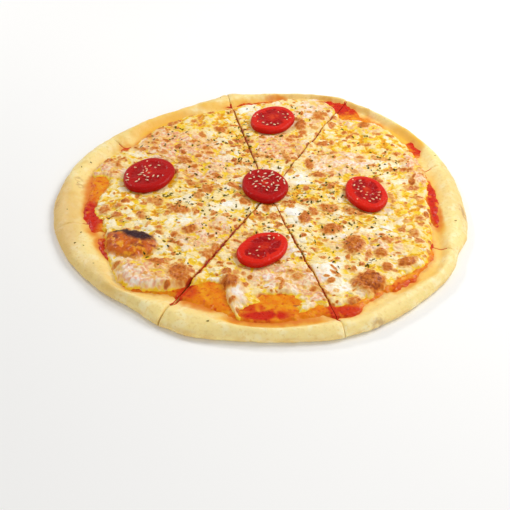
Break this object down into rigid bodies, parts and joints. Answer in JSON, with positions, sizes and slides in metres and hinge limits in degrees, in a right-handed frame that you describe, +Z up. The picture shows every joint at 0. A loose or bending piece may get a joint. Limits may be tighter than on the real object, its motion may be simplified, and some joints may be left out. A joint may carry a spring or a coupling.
{
  "type": "margherita pizza",
  "caption": "Round thin margherita pizza cut into slices that lie together: pale raised crust, tomato sauce, browned melted cheese and fresh tomato slices on top.",
  "frame": {"origin": "middle of the bounding box's bottom, under the middle of the pizza, on the surface it rests on", "axes": "+Z up through the toppings; -Y towards the front slice; +X to the right"},
  "size_m": [0.32, 0.317, 0.0144],
  "materials": {
    "crust": "pale baked dough, soft satin, browned in small spots",
    "sauce": "moist tomato sauce, soft uneven gloss",
    "cheese": "melted cheese, cream with yellow oil and brown blisters, soft uneven gloss",
    "tomato": "wet fresh tomato, glossy"
  },
  "bodies": {
    "root": {"crust_1": "crust", "sauce_1": "sauce", "cheese_1": "cheese", "crust_2": "crust", "sauce_2": "sauce", "cheese_2": "cheese", "crust_3": "crust", "sauce_3": "sauce", "cheese_3": "cheese", "crust_4": "crust", "sauce_4": "sauce", "cheese_4": "cheese", "crust_5": "crust", "sauce_5": "sauce", "cheese_5": "cheese", "crust_6": "crust", "sauce_6": "sauce", "cheese_6": "cheese", "crust_7": "crust", "sauce_7": "sauce", "cheese_7": "cheese", "crust_8": "crust", "sauce_8": "sauce", "cheese_8": "cheese", "tomato_1": "tomato", "tomato_2": "tomato", "tomato_3": "tomato", "tomato_4": "tomato", "tomato_5": "tomato"}
  },
  "joints": []
}
